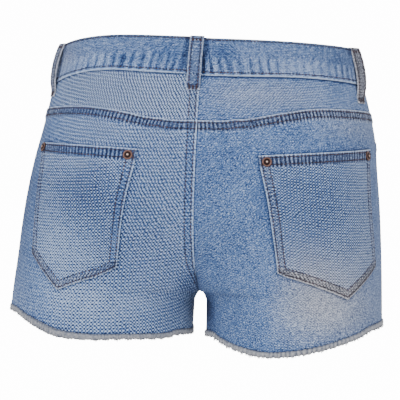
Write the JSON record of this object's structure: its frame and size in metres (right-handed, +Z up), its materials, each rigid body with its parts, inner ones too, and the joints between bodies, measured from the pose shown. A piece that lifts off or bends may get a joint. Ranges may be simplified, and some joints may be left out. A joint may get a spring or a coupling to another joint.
{
  "type": "denim shorts",
  "caption": "Short denim shorts with a waistband, belt loops, back yoke, pointed back patch pockets and raw frayed leg hems, hollow as when worn.",
  "frame": {"origin": "middle of the waistband's ring, at half the band's height at the middle back", "axes": "+X to the wearer's right, +Y to the wearer's front, +Z up"},
  "size_m": [0.3718, 0.2316, 0.3029],
  "materials": {
    "denim": "washed blue twill, light on the seams and folds",
    "denim_inner": "less worn blue twill",
    "frayed_edge": "raw cotton ends, grey white",
    "copper": "dulled copper colour"
  },
  "bodies": {
    "root": {"waistband": "denim", "back_yoke_left": "denim", "back_yoke_right": "denim", "back_panel_left": "denim", "back_panel_right": "denim", "front_panel_left": "denim", "front_panel_right": "denim", "pocket_facing_left": "denim_inner", "pocket_facing_right": "denim_inner", "back_pocket_left": "denim", "back_pocket_right": "denim", "frayed_hem_left": "frayed_edge", "frayed_hem_right": "frayed_edge", "fly_facing": "denim_inner", "belt_loop_middle_back": "denim", "belt_loop_left_back": "denim", "belt_loop_right_back": "denim", "belt_loop_left_front": "denim", "belt_loop_right_front": "denim", "rivet_left_inner": "copper", "rivet_left_outer": "copper", "rivet_right_inner": "copper", "rivet_right_outer": "copper", "waist_button": "copper"}
  },
  "joints": []
}
